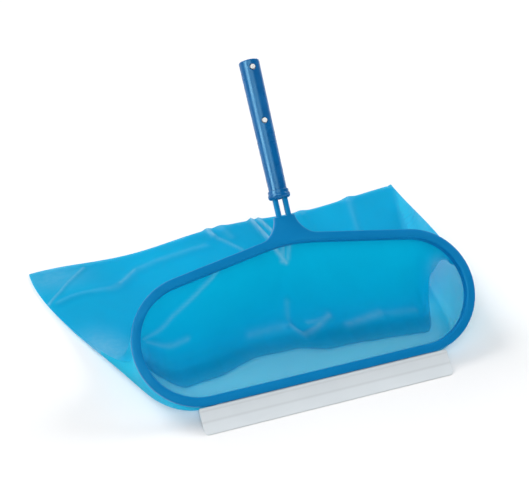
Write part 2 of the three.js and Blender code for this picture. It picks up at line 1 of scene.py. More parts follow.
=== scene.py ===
"""Looks of a leaf skimmer net: blue plastic hoop and handle, a fine mesh bag and a white scraper."""
import math

import bpy
import numpy as np
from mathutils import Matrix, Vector


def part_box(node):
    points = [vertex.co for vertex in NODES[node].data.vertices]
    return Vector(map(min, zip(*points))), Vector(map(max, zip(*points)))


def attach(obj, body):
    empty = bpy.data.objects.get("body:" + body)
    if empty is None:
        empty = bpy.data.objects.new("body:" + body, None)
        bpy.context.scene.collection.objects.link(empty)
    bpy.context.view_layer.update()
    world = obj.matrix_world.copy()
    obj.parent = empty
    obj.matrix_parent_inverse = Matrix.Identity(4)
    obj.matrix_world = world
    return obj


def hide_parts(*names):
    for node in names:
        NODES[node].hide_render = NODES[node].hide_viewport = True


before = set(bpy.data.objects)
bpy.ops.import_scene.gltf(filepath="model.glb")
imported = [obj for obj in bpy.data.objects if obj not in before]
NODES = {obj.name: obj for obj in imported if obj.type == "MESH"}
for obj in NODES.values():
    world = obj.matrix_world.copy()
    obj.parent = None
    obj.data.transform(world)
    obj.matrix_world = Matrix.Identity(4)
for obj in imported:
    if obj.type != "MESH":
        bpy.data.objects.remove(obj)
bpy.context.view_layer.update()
ROOT = "skimmer"

# The hoop and the bag's shape, in metres, as in the CAD source.
LEAN = math.radians(40.56)
LOBE_X = 0.167
LOBE_R = 0.0867
BAR_RISE = math.radians(9.9)
PEAK_R = 0.225
RING_OUTER = 0.0054
RING_FRONT = -0.0099
RING_BACK = -0.015
FAR_LEFT = (-0.363, 0.423)
FAR_RIGHT = (0.295, 0.467)
SEAM_SCALLOP = 0.013
SIDE_TUCK = 0.98
SIDE_BACK = 0.014
SIDE_BOW = 1.02
CORNER_LEAD = 0.1
DROP_BACK = 0.008
FLAT_FROM = 0.026
TOE_LINE = (
    (-0.21, 0.095),
    (-0.15, 0.1),
    (-0.065, 0.122),
    (-0.015, 0.12),
    (0.035, 0.104),
    (0.21, 0.094),
)
TOE_ROUND = 0.0015
TOE_FADE = (0.05, 0.2)
TAUT = (0.86, 1.0)
TAUT_RISE = 0.028
SEAM_Z = (0.0022, 0.0008)
# How the slack hangs: shares of its depth at the curve's two control points, and the upper
# one's share of the mouth's height.
SLACK_FORWARD = (0.05, 0.55)
SLACK_HEIGHT = 0.4

# Points across a panel, and its rows above and beyond the line where the slack turns under.
ACROSS = 200
HANG = 60
LAID = 99
# Shares of a side's curve at the last hanging row, at the turn and at the first row beyond it.
SIDE_SHARES = (0.5, 0.52, 0.55)
# Shares of the bottom panel's flat part at the turn and at the first row beyond it.
FLAT_SHARES = (0.03, 0.06)
LOBE_POINTS = 80
PEAK_POINTS = 30

X_AXIS = np.array([1.0, 0.0, 0.0])
UP_SLOPE = np.array([0.0, math.cos(LEAN), math.sin(LEAN)])
OUT = np.array([0.0, -math.sin(LEAN), math.cos(LEAN)])


def vertices(node):
    return np.array([v.co for v in NODES[node].data.vertices])


def hoop_origin():
    """The middle of the line between the hoop's two round ends, on its front plane."""
    points = vertices("clamp_ring")
    x = (points[:, 0].min() + points[:, 0].max()) / 2
    v = (points @ UP_SLOPE).min() + LOBE_R + RING_OUTER
    n = (points @ OUT).max() - RING_FRONT
    return x * X_AXIS + v * UP_SLOPE + n * OUT


ORIGIN = hoop_origin()
GROUND = np.array([ORIGIN[0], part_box("scraper_blade")[0].y, 0.0])


# Folds of the top panel: points as shares (across, along) of its width and length, then the
# fold's height and half width in metres, and how pale the painted highlight makes the cloth along
# it.
FOLDS = (
    (((0.13, 0.962), (0.05, 0.812), (0.0, 0.744)), 0.003, 0.004, 0.4),
    (
        ((0.03, 0.74), (0.12, 0.78), (0.215, 0.881), (0.25, 0.912), (0.3, 0.925), (0.435, 0.919)),
        0.004,
        0.01,
        0.13,
    ),
    (((0.19, 0.855), (0.24, 0.905)), 0.002, 0.005, 0.35),
    (((0.465, 1.0), (0.47, 0.955)), 0.004, 0.006, 0.7),
    (((0.47, 0.955), (0.515, 0.86)), 0.002, 0.005, 0.3),
    (((0.5, 1.0), (0.51, 0.93)), 0.003, 0.010, 0.1),
    (((0.585, 1.0), (0.595, 0.888)), 0.006, 0.004, 0.9),
    (((0.605, 1.0), (0.62, 0.9)), 0.004, 0.004, 0.8),
    (((0.86, 1.0), (0.84, 0.9), (0.8, 0.75)), 0.004, 0.010, 0.1),
    (((0.72, 1.0), (0.7, 0.85)), 0.003, 0.010, 0.0),
    (((0.125, 0.181), (0.2, 0.11), (0.25, 0.081), (0.305, 0.044)), -0.0015, 0.004, 0.22),
    (((0.305, 0.044), (0.33, 0.02)), -0.0015, 0.003, 0.3),
    (((0.485, 0.275), (0.51, 0.312), (0.585, 0.244)), -0.006, 0.008, 0.4),
    (((0.49, 0.2), (0.485, 0.275)), -0.004, 0.008, 0.1),
    (((0.385, 0.269), (0.475, 0.275)), -0.005, 0.014, 0.15),
    (((0.53, 0.262), (0.58, 0.25)), -0.003, 0.006, 0.25),
    (((0.625, 0.281), (0.71, 0.25)), -0.006, 0.012, 0.3),
    (((0.72, 0.25), (0.8, 0.24)), -0.003, 0.010, 0.12),
    (((0.135, 0.194), (0.23, 0.194)), -0.003, 0.008, 0.2),
    (((0.46, 0.012), (0.495, 0.081)), -0.0015, 0.002, 0.4),
    (((0.49, 0.019), (0.485, 0.075)), -0.0015, 0.002, 0.3),
    (((0.505, 0.02), (0.5, 0.07)), -0.001, 0.002, 0.25),
)
# Painted highlights, places where the cloth is painted pale: (across, along, radius in metres, how
# pale).
PALE = (
    (0.05, 0.93, 0.045, 0.22),
    (0.03, 0.36, 0.06, 0.45),
    (0.9, 0.13, 0.02, 0.35),
)
# A fold's painted highlight covers this share of its half width, and no less than this many metres.
PALE_SHARE = 0.5
PALE_LEAST = 0.0028
# Flat width of both panels, and the lengths of the top one and the bottom one.
PANEL_WIDE = 0.655
PANEL_LONG = (0.5, 0.42)
# Rows at the ring that take no fold, and rows of the bottom panel that follow the far seam.
RING_ROWS = 4
SEAM_ROWS = 8

# How closely the mesh is gathered. Each pair is where a zone starts and ends to fade, as
# shares of the panel's width from its side, or of its length from the ring.
SIDE_DENSE = 0.7
LEFT_ZONE = (0.0, 0.12)
RIGHT_ZONE = (0.08, 0.2)
SIDE_ZONE = (0.1, 0.5)
HEM_DENSE = 0.7
HEM_ZONE = (0.0, 0.05)
HIGH_ZONE = (0.08, 0.28)
HIGH_FROM = (0.15, 0.42)
UNDER_THIN = 0.4
# How much thinner the mesh looks where it turns under, and over how many rows.
TOE_THIN = 1.9
TOE_WIDE = 9

# The cloth's settling.
STEPS = 45
PASSES = 4
SPARE = 1.012
KEPT_SPEED = 0.94
FALL = 0.00008
BUMP_HEIGHT = 0.0016
BUMPS = (14, 22)
PINNED_ROWS = 3

THREAD_PITCH = 0.0009
CORD_PITCH = 0.0016
COOL_SHINE = (0.1, 0.7, 1.0)

# Suns: name, where it shines from, its strength, and how wide it is in degrees.
SUNS = (
    ("key", (-0.6, 0.9, 0.8), 1.75, 36),
    ("right_back", (1.4, 0.5, 0.9), 1.0, 24),
    ("front", (-0.3, -0.75, 1.0), 1.1, 40),
)
SKY = 0.37
CAMERA_PLACE = (-0.4052, -1.2339, 1.1418)
CAMERA_AIM = (-0.0086, -0.0533, 0.1613)
CAMERA_LENS = 75.06
FLOOR_HALF = 12.0
FLOOR_DROP = 0.0004


# ---- nodes of the materials ----


class Nodes:
    """A new material, and short calls that add to its node tree."""

    def __init__(self, name):
        self.material = bpy.data.materials.new(name)
        self.material.use_nodes = True
        self.tree = self.material.node_tree
        self.tree.nodes.clear()
        self.output = self.add("ShaderNodeOutputMaterial")

    def add(self, kind, inputs=(), **settings):
        node = self.tree.nodes.new(kind)
        for key, value in settings.items():
            setattr(node, key, value)
        for key, value in dict(inputs).items():
            self.put(node.inputs[key], value)
        return node

    def put(self, socket, value):
        if isinstance(value, bpy.types.NodeSocket):
            self.tree.links.new(value, socket)
        else:
            socket.default_value = value

    def where(self):
        return self.add("ShaderNodeTexCoord").outputs["Object"]

    def stretched(self, vector, scale):
        return self.add("ShaderNodeMapping", {"Vector": vector, "Scale": scale}).outputs["Vector"]

    def noise(self, vector, scale, detail=2.0, rough=0.5, warp=0.0):
        inputs = {"Vector": vector, "Scale": scale, "Detail": detail, "Roughness": rough}
        inputs["Distortion"] = warp
        return self.add("ShaderNodeTexNoise", inputs).outputs["Fac"]

    def wave(self, vector, pitch, direction):
        inputs = {"Vector": vector, "Scale": 2 * math.pi / 20 / pitch}
        node = self.add("ShaderNodeTexWave", inputs, bands_direction=direction)
        return node.outputs["Fac"]

    def ranged(self, value, low, high, start=0.0, end=1.0):
        inputs = {"Value": value, "From Min": start, "From Max": end, "To Min": low, "To Max": high}
        return self.add("ShaderNodeMapRange", inputs).outputs["Result"]

    def math(self, operation, a, b):
        node = self.add("ShaderNodeMath", operation=operation)
        self.put(node.inputs[0], a)
        self.put(node.inputs[1], b)
        return node.outputs[0]

    def blend(self, share, a, b, how="MIX"):
        node = self.add("ShaderNodeMix", data_type="RGBA", blend_type=how)
        self.put(node.inputs["Factor"], share)
        self.put(node.inputs["A"], a)
        self.put(node.inputs["B"], b)
        return node.outputs["Result"]

    def bump(self, height, distance, strength=1.0, under=None):
        inputs = {"Height": height, "Distance": distance, "Strength": strength}
        if under is not None:
            inputs["Normal"] = under
        return self.add("ShaderNodeBump", inputs).outputs["Normal"]

    def finish(self, shader):
        self.tree.links.new(shader, self.output.inputs["Surface"])
        return self.material


def rgb(red, green, blue):
    return (red, green, blue, 1.0)


def moulded(
    name, light, dark, edge, roughness, specular, tint=(1.0, 1.0, 1.0), painted_shading=(), round_over=0.0012
):
    """Moulded plastic: faint flow marks, fine grain, and a painted highlight in the edge colour
    along its edges.
    """
    n = Nodes(name)
    where = n.where()
    flow = n.noise(n.stretched(where, (1.0, 2.5, 2.5)), 9.0, 3.0, 0.6, 0.6)
    colour = n.blend(n.ranged(flow, 0, 1, 0.3, 0.7), dark, light)
    rounded = n.add("ShaderNodeBevel", {"Radius": round_over}, samples=8).outputs["Normal"]
    flat = n.add("ShaderNodeNewGeometry").outputs["Normal"]
    turn = n.add("ShaderNodeVectorMath", operation="DOT_PRODUCT")
    n.put(turn.inputs[0], rounded)
    n.put(turn.inputs[1], flat)
    # Painted highlight: where the rounded normal turns away from the flat one, the colour goes
    # towards the paler edge colour, in patches.
    painted_edge_highlight = n.ranged(turn.outputs["Value"], 0.55, 0.0, 0.82, 0.995)
    colour = n.blend(n.math("MULTIPLY", painted_edge_highlight, n.noise(where, 300.0, 3.0)), colour, edge)
    # Painted light and shade in bands along the slope, where they are given.
    if painted_shading:
        colour = paint_shading_bands(n, colour, *painted_shading)
    fine = n.noise(where, 1400.0, 2.0)
    waves = n.noise(where, 55.0, 2.0)
    normal = n.bump(waves, 0.0002, 0.3, n.bump(fine, 0.00006, 1.0, rounded))
    rough = n.ranged(n.noise(where, 45.0, 3.0), roughness - 0.05, roughness + 0.07, 0.3, 0.7)
    shader = n.add(
        "ShaderNodeBsdfPrincipled",
        {
            "Base Color": colour,
            "Roughness": rough,
            "Normal": normal,
            "Specular IOR Level": specular,
            "Specular Tint": rgb(*tint),
        },
    )
    return n.finish(shader.outputs["BSDF"])


# Painted light and shade on the blade, in bands from its bottom to its top, where its profile faces
# the light
# more or less or has a shaded crease: share of the height, then how light.
BLADE_PAINTED_SHADING = (
    (0.0, 1.0),
    (0.3, 0.97),
    (0.36, 0.84),
    (0.41, 0.93),
    (0.62, 0.9),
    (0.66, 0.8),
    (0.7, 0.9),
    (0.86, 0.84),
    (0.9, 0.96),
    (1.0, 0.86),
)


def paint_shading_bands(n, colour, node, painted_shading):
    """The colour with painted light and shade, lighter and darker in bands along the node's slope.
    """
    height = vertices(node) @ UP_SLOPE
    up = n.add("ShaderNodeVectorMath", operation="DOT_PRODUCT")
    n.put(up.inputs[0], n.where())
    n.put(up.inputs[1], tuple(UP_SLOPE))
    share = n.ranged(up.outputs["Value"], 0, 1, height.min(), height.max())
    ramp = n.add("ShaderNodeValToRGB", {"Fac": share})
    points = ramp.color_ramp.elements
    for place, light in painted_shading[1:-1]:
        points.new(place).color = rgb(light, light, light)
    points[0].color = rgb(*[painted_shading[0][1]] * 3)
    points[len(painted_shading) - 1].color = rgb(*[painted_shading[-1][1]] * 3)
    return n.blend(1.0, colour, ramp.outputs["Color"], "MULTIPLY")


def brushed(name):
    """Stainless steel with fine drawn lines."""
    n = Nodes(name)
    where = n.where()
    lines = n.noise(n.stretched(where, (1.0, 40.0, 40.0)), 60.0, 4.0, 0.7)
    shader = n.add(
        "ShaderNodeBsdfPrincipled",
        {
            "Base Color": n.blend(lines, rgb(0.42, 0.43, 0.45), rgb(0.6, 0.61, 0.62)),
            "Metallic": 1.0,
            "Roughness": n.ranged(lines, 0.25, 0.42),
            "Normal": n.bump(lines, 0.00003),
        },
    )
    return n.finish(shader.outputs["BSDF"])


def braided(name):
    """White cord: two crossing sets of strands."""
    n = Nodes(name)
    where = n.where()
    a = n.wave(n.stretched(where, (1.0, 1.0, -1.0)), CORD_PITCH, "DIAGONAL")
    b = n.wave(n.stretched(where, (-1.0, 1.0, 1.0)), CORD_PITCH, "DIAGONAL")
    strands = n.math("MAXIMUM", a, b)
    shader = n.add(
        "ShaderNodeBsdfPrincipled",
        {
            "Base Color": n.blend(strands, rgb(0.55, 0.62, 0.68), rgb(0.88, 0.9, 0.92)),
            "Roughness": 0.8,
            "Normal": n.bump(strands, 0.0003),
            "Sheen Weight": 0.2,
        },
    )
    return n.finish(shader.outputs["BSDF"])


def mesh_cloth(name, light, dark, pale, through, clear):
    """Fine woven mesh, lit through from behind, with a painted highlight along its folds.

    It is clearer where the "dense" number of its points is low.
    """
    n = Nodes(name)
    woven = n.add("ShaderNodeUVMap", uv_map="weave").outputs["UV"]
    # Strength of the painted highlight at each point, along the folds and at the places given.
    fold_highlight = n.add("ShaderNodeAttribute", attribute_name="fold_highlight").outputs["Fac"]
    dense = n.add("ShaderNodeAttribute", attribute_name="dense").outputs["Fac"]
    cloud = n.noise(woven, 7.0, 3.0, 0.55, 0.4)
    warp = n.wave(woven, THREAD_PITCH, "X")
    weft = n.wave(woven, THREAD_PITCH, "Y")
    threads = n.math("MAXIMUM", warp, weft)
    colour = n.blend(n.ranged(cloud, 0, 1, 0.3, 0.7), dark, light)
    colour = n.blend(n.ranged(threads, 0.1, 0.0), colour, dark)
    # Painted highlight: the cloth turns pale along the folds and at the places given, broken up by
    # noise.
    painted_highlight = n.math("MULTIPLY", fold_highlight, n.ranged(n.noise(woven, 90.0, 2.0), 0.7, 1.0, 0.3, 0.65))
    colour = n.blend(painted_highlight, colour, pale)
    slubs = n.noise(n.stretched(woven, (1.0, 12.0, 1.0)), 60.0, 2.0)
    normal = n.bump(slubs, 0.0002, 0.5, n.bump(threads, 0.00012))
    front = n.add(
        "ShaderNodeBsdfPrincipled",
        {
            "Base Color": colour,
            "Roughness": n.ranged(cloud, 0.42, 0.58, 0.3, 0.7),
            "Normal": normal,
            "Specular IOR Level": 0.15,
            "Specular Tint": rgb(0.2, 0.8, 1.0),
        },
    )
    back = n.add("ShaderNodeBsdfTranslucent", {"Color": colour, "Normal": normal})
    glow = n.ranged(dense, through, 0.3 * through)
    lit = n.add("ShaderNodeMixShader", {0: glow, 1: front.outputs[0], 2: back.outputs[0]})
    holes = n.add("ShaderNodeBsdfTransparent")
    between_threads = n.ranged(threads, clear + 0.03, clear - 0.03)
    openness = n.math("MULTIPLY", between_threads, n.ranged(dense, 3.0, 0.0, -2.0, 1.0))
    seen = n.add("ShaderNodeMixShader", {0: openness, 1: lit.outputs[0], 2: holes.outputs[0]})
    return n.finish(seen.outputs[0])


# ---- the CAD nodes ----


def soften(node):
    """Smooth shading over rounded faces, with sharp edges left sharp."""
    mesh = node.data
    if "custom_normal" in mesh.attributes:
        mesh.attributes.remove(mesh.attributes["custom_normal"])
    mesh.shade_smooth()
    node.modifiers.new("joined", "WELD").merge_threshold = 1e-6
    split = node.modifiers.new("edges", "EDGE_SPLIT")
    split.split_angle = math.radians(28)
    split.use_edge_sharp = False


def frame_plastic():
    return moulded(
        "frame_plastic",
        rgb(0.002, 0.21, 0.52),
        rgb(0.001, 0.19, 0.48),
        # Colour of the painted edge highlight.
        rgb(0.03, 0.38, 0.7),
        roughness=0.38,
        specular=0.5,
        tint=COOL_SHINE,
        round_over=0.0026,
    )


def ring_plastic():
    return moulded(
        "ring_plastic",
        rgb(0.002, 0.25, 0.6),
        rgb(0.001, 0.22, 0.55),
        # Colour of the painted edge highlight.
        rgb(0.03, 0.4, 0.72),
        roughness=0.5,
        specular=0.3,
        tint=COOL_SHINE,
    )


def handle_plastic():
    return moulded(
        "handle_plastic",
        rgb(0.001, 0.135, 0.4),
        rgb(0.0, 0.11, 0.35),
        # Colour of the painted edge highlight.
        rgb(0.04, 0.3, 0.6),
        roughness=0.27,
        specular=0.7,
        tint=(0.4, 0.85, 1.0),
    )


def blade_plastic():
    return moulded(
        "blade_plastic",
        rgb(0.77, 0.83, 0.87),
        rgb(0.73, 0.79, 0.83),
        # Colour of the painted edge highlight.
        rgb(0.95, 0.96, 0.97),
        roughness=0.42,
        specular=0.4,
        # Painted light and shade in bands up the blade.
        painted_shading=("scraper_blade", BLADE_PAINTED_SHADING),
    )


def button_nylon():
    return moulded(
        "button_nylon",
        rgb(0.93, 0.93, 0.9),
        rgb(0.88, 0.88, 0.85),
        # Colour of the painted edge highlight.
        rgb(0.98, 0.98, 0.97),
        roughness=0.35,
        specular=0.5,
    )


def finish_nodes():
    by_name = {
        "front_frame": frame_plastic(),
        "clamp_ring": ring_plastic(),
        "handle_tube": handle_plastic(),
        "scraper_blade": blade_plastic(),
        "hem_cord": braided("hem_cord"),
    }
    nylon = button_nylon()
    steel = brushed("steel")
    for name, node in NODES.items():
        chosen = by_name.get(name, nylon if name.endswith("button") else steel)
        node.data.materials.clear()
        node.data.materials.append(chosen)
        soften(node)


# ---- the bag ----


def arc(cx, cy, radius, start, end, count):
    """Points on a circle, from one angle to the other."""
    angles = np.linspace(start, end, count)
    return np.column_stack([cx + radius * np.cos(angles), cy + radius * np.sin(angles)])


def mouth_line(over, offset):
    """The upper or lower half of the mouth in the hoop's plane, left to right, ACROSS + 1 points."""
    radius = LOBE_R + offset
    quarter = math.pi / 2
    side = 1 if over else -1
    turn = side * (quarter - (BAR_RISE if over else 0))
    right = arc(LOBE_X, 0, radius, turn, 0, LOBE_POINTS)
    left = right[::-1] * (-1, 1)
    pieces = [left, right]
    if over:
        peak_y = (LOBE_X * math.sin(BAR_RISE) + LOBE_R - PEAK_R) / math.cos(BAR_RISE)
        ends = quarter + BAR_RISE, quarter - BAR_RISE
        peak = arc(0, peak_y, PEAK_R + offset, *ends, PEAK_POINTS)
        pieces = [left, peak, right]
    line = np.vstack(pieces)
    run = np.concatenate([[0], np.cumsum(np.hypot(*np.diff(line, axis=0).T))])
    even = np.linspace(0, run[-1], ACROSS + 1)
    return np.column_stack([np.interp(even, run, line[:, k]) for k in range(2)])


def on_hoop(line, z):
    """Points of the hoop's plane in the shared frame, z in front of it."""
    return ORIGIN + line[:, :1] * X_AXIS + line[:, 1:2] * UP_SLOPE + z * OUT


def bezier(a, b, c, d, shares):
    """Rows of points on the curves from each point of a to the same one of d."""
    t = np.asarray(shares)[:, None, None]
    return (1 - t) ** 3 * a + 3 * t * (1 - t) ** 2 * b + 3 * t * t * (1 - t) * c + t**3 * d


def between(a, b, shares):
    """Rows of points on the straight lines from each point of a to the same one of b."""
    t = np.asarray(shares)[:, None, None]
    return a + t * (b - a)


def moved(points, y=None, z=None, back=0.0):
    """The points farther back, or at the y or the z given."""
    made = points + (0, back, 0)
    if y is not None:
        made[:, 1] = y
    if z is not None:
        made[:, 2] = z
    return made


def smooth_step(value, low, high):
    """0 up to low and 1 from high on, eased between them."""
    t = np.clip((value - low) / (high - low), 0, 1)
    return t * t * (3 - 2 * t)


def faded(value, low, high):
    """1 up to low and 0 from high on, eased between them."""
    return 1 - smooth_step(value, low, high)


def slack_share():
    """How much each column takes part in the bag's slack: 0 at the two sides, 1 in the middle."""
    s = np.linspace(0, 1, ACROSS + 1)
    return smooth_step(np.minimum(s, 1 - s), *TOE_FADE)


def side_rows(start, seam, z, shares):
    """Down behind the hoop and slowly to the ground, or straight back where the side is taut."""
    foot = moved(start, z=z, back=SIDE_BACK)
    foot[:, 0] = (start[:, 0] - GROUND[0]) * SIDE_TUCK + GROUND[0]
    run = moved(seam, z=z, back=-CORNER_LEAD)
    run[:, 0] = start[:, 0] + SIDE_BOW * (seam[:, 0] - start[:, 0])
    taut = smooth_step(np.linspace(0, 1, ACROSS + 1), *TAUT)[:, None]
    foot += taut * (start + (seam - start) / 3 + (0, 0, TAUT_RISE) - foot)
    run += taut * (start + (seam - start) * 2 / 3 - run)
    return bezier(start, foot, run, seam, shares)


def line_at(points, x):
    """The line's height at each x, eased from each point to the next."""
    known = np.array(points)
    i = np.clip(np.searchsorted(known[:, 0], x), 1, len(known) - 1)
    low, high = known[i - 1], known[i]
    share = np.clip((x - low[:, 0]) / (high[:, 0] - low[:, 0]), 0, 1)
    return low[:, 1] + share * share * (3 - 2 * share) * (high[:, 1] - low[:, 1])


def slack_rows(start, seam, z, hang, laid):
    """Down and forward to a fold, and back along the ground under it."""
    toe_y = GROUND[1] + line_at(TOE_LINE, start[:, 0] - GROUND[0])
    deep = start[:, 1] - toe_y
    upper = moved(start, toe_y, z + 2 * TOE_ROUND)
    high = moved(start, start[:, 1] - SLACK_FORWARD[0] * deep, SLACK_HEIGHT * start[:, 2])
    low = moved(start, start[:, 1] - SLACK_FORWARD[1] * deep, z + 2 * TOE_ROUND)
    tip = moved(start, toe_y - TOE_ROUND, z + TOE_ROUND)
    toe = moved(start, toe_y, z)
    return np.vstack([bezier(start, high, low, upper, hang), tip[None], between(toe, seam, laid)])


def flat_rows(start, seam, z, hang, laid):
    """Down close behind the hoop, and flat from there."""
    flat = moved(start, z=z, back=FLAT_FROM)
    near = moved(start, z=z, back=DROP_BACK)
    half = moved(start, z=z, back=FLAT_FROM / 2)
    turn, first = FLAT_SHARES
    after = np.concatenate([[turn], first + (1 - first) * laid])
    return np.vstack([bezier(start, near, half, flat, hang), between(flat, seam, after)])


def loft(over):
    """One panel as rows of points from the mouth to the far seam."""
    mouth = mouth_line(over, RING_OUTER + 0.0009)
    start = on_hoop(mouth, RING_BACK - 0.0005)
    s = np.linspace(0, 1, ACROSS + 1)
    z = SEAM_Z[0] if over else SEAM_Z[1]
    x = FAR_LEFT[0] + (FAR_RIGHT[0] - FAR_LEFT[0]) * s
    y = FAR_LEFT[1] + (FAR_RIGHT[1] - FAR_LEFT[1]) * s - SEAM_SCALLOP * np.sin(2 * math.pi * s) ** 2
    seam = np.column_stack([x + GROUND[0], y + GROUND[1], np.full_like(s, z)])
    hang, laid = np.linspace(0, 1, HANG), np.linspace(0, 1, LAID)
    last, turn, first = SIDE_SHARES
    shares = np.concatenate([last * hang, [turn], first + (1 - first) * laid])
    sides = side_rows(start, seam, z, shares)
    middle = (slack_rows if over else flat_rows)(start, seam, z, hang, laid)
    rows = sides + slack_share()[:, None] * (middle - sides)
    grid = np.vstack([on_hoop(mouth, RING_FRONT - 0.0003)[None], rows])
    grid[..., 2] = np.maximum(grid[..., 2], z)
    return evened(grid)


def evened(grid):
    """Each column's points, from the ring back, moved to even steps along the column."""
    body = grid[1:]
    steps = np.sqrt((np.diff(body, axis=0) ** 2).sum(-1))
    run = np.vstack([np.zeros(body.shape[1]), np.cumsum(steps, 0)])
    even = np.linspace(0, 1, body.shape[0])
    for i in range(body.shape[1]):
        at = even * run[-1, i]
        grid[1:, i] = np.column_stack([np.interp(at, run[:, i], body[:, i, k]) for k in range(3)])
    return grid


# How far apart each kind of link's ends are, down and across the grid, and how stiff it is.
LINKS = (
    (0, 1, 1.0),
    (1, 0, 1.0),
    (1, 1, 0.4),
    (1, -1, 0.4),
    (0, 2, 0.15),
    (2, 0, 0.15),
    (0, 5, 0.22),
    (5, 0, 0.22),
)


def linked(grid, down, across):
    """Pairs of views of the grid that hold the two ends of each link.

    No point is in a pair twice. Every second phase is enough for the longest links.
    """
    far = max(down, abs(across))
    pairs = []
    for phase in range(0, 2 * far, 2 if far > 2 else 1):
        first, second = slice(phase, None, 2 * far), slice(phase + far, None, 2 * far)
        if down == 0:
            a, b = grid[:, first], grid[:, second]
        elif across < 0:
            a, b = grid[first, 1:], grid[second, :-1]
        elif across > 0 and down > 0:
            a, b = grid[first, :-1], grid[second, 1:]
        else:
            a, b = grid[first], grid[second]
        rows, columns = min(a.shape[0], b.shape[0]), min(a.shape[1], b.shape[1])
        pairs.append((a[:rows, :columns], b[:rows, :columns]))
    return pairs


def lengths(a, b):
    """Distances between the points of a and b, never quite 0."""
    return np.sqrt(((b - a) ** 2).sum(-1, keepdims=True)) + 1e-12


def links_of(grid):
    """Every link of one panel with its rest length, which leaves the cloth a little spare."""
    links = []
    for down, across, share in LINKS:
        for a, b in linked(grid, down, across):
            links.append((a, b, lengths(a, b) * SPARE, share))
    return links


def floor_under(grid, over):
    """The lowest each point may lie; above the fold the top panel lies on its own under layer."""
    low = np.full(grid.shape[:2] + (1,), SEAM_Z[0] if over else SEAM_Z[1])
    if over:
        toe = grid[..., 1].argmin(0)
        upper = np.arange(grid.shape[0])[:, None] < toe
        low[..., 0] += np.where(upper, 2 * TOE_ROUND * slack_share(), 0)
    return low


def step_on(grid, last):
    """Moves every point on as it moved before, and down by its weight."""
    way = KEPT_SPEED * (grid - last)
    last[:] = grid
    grid += way
    grid[..., 2] -= FALL


def pull(links):
    """Moves both ends of each link towards its rest length."""
    for a, b, rest, share in links:
        link = b - a
        length = lengths(a, b)
        way = link * (0.5 * share * (length - rest) / length)
        a += way
        b -= way


def settle(panels):
    """Lets the two panels hang and lie under their own weight, with their stiff sewn sides held."""
    top, bottom = panels
    links = [links_of(grid) for grid in panels]
    pinned = [grid[:PINNED_ROWS].copy() for grid in panels]
    sides = (top[:, [0, -1]] + bottom[:, [0, -1]]) / 2
    floors = [floor_under(top, True), floor_under(bottom, False)]
    rng = np.random.default_rng(4)
    for grid in panels:
        grid[PINNED_ROWS:-1] += soft_bumps(rng, grid.shape[:2])[PINNED_ROWS:-1]
    last = [grid.copy() for grid in panels]
    for _ in range(STEPS):
        for k, grid in enumerate(panels):
            step_on(grid, last[k])
        for _ in range(PASSES):
            for k, grid in enumerate(panels):
                pull(links[k])
                grid[:PINNED_ROWS] = pinned[k]
                grid[PINNED_ROWS:, [0, -1]] = sides[PINNED_ROWS:]
                grid[..., 2:] = np.maximum(grid[..., 2:], floors[k])
            seam = (top[-1] + bottom[-1]) / 2
            top[-1] = seam
            bottom[-1] = seam


def spread(field, count):
    """The field with its first axis interpolated to count points."""
    known = np.arange(len(field))
    at = np.linspace(0, len(field) - 1, count)
    columns = field.reshape(len(field), -1).T
    made = np.column_stack([np.interp(at, known, column) for column in columns])
    return made.reshape(count, *field.shape[1:])


def soft_bumps(rng, shape):
    """A smooth random field over the grid, as small moves."""
    coarse = rng.normal(size=(*BUMPS, 3))
    down = spread(coarse, shape[0])
    return BUMP_HEIGHT * spread(down.swapaxes(0, 1), shape[1]).swapaxes(0, 1)


def places_of(grid):
    """Each point's place on its panel, in metres across and along."""
    along, across = np.meshgrid(
        np.linspace(0, PANEL_LONG[0], grid.shape[0]),
        np.linspace(0, PANEL_WIDE, grid.shape[1]),
        indexing="ij",
    )
    return np.stack([across, along], -1)


def way_to(places, a, b):
    """Distance of each place from the line between a and b, which are shares of the panel."""
    a, b = (np.array(p) * (PANEL_WIDE, PANEL_LONG[0]) for p in (a, b))
    share = ((places - a) @ (b - a)) / ((b - a) @ (b - a))
    nearest = a + np.clip(share, 0, 1)[..., None] * (b - a)
    return np.sqrt(((places - nearest) ** 2).sum(-1))


def normals_of(grid):
    """The direction that the cloth faces at each of its points."""
    across = np.gradient(grid, axis=1)
    along = np.gradient(grid, axis=0)
    normal = np.cross(across, along)
    return normal / lengths(normal, 0 * normal)


def fold(top, bottom):
    """Raises the folds of the top panel, and gives its painted highlight: how pale each of its
    points is.
    """
    places = places_of(top)
    height = np.zeros(top.shape[:2])
    pale = np.zeros(top.shape[:2])
    for line, rise, half, painted_highlight in FOLDS:
        way = np.min([way_to(places, a, b) for a, b in zip(line, line[1:])], 0)
        shape = np.exp(-((way / half) ** 2))
        height += rise * shape
        narrow = max(PALE_SHARE * half, PALE_LEAST)
        pale = np.maximum(pale, painted_highlight * np.exp(-((way / narrow) ** 2)))
    # Painted highlights at the places given.
    for across, along, radius, painted_highlight in PALE:
        way = lengths(places, np.array([across * PANEL_WIDE, along * PANEL_LONG[0]]))[..., 0]
        pale = np.maximum(pale, painted_highlight * np.exp(-((way / radius) ** 2)))
    height[:RING_ROWS] *= np.linspace(0, 1, RING_ROWS)[:, None]
    top += height[..., None] * normals_of(top)
    fade = np.linspace(0, 1, SEAM_ROWS)[:, None]
    bottom[-SEAM_ROWS:, :, 2] += fade * height[-1]
    return pale


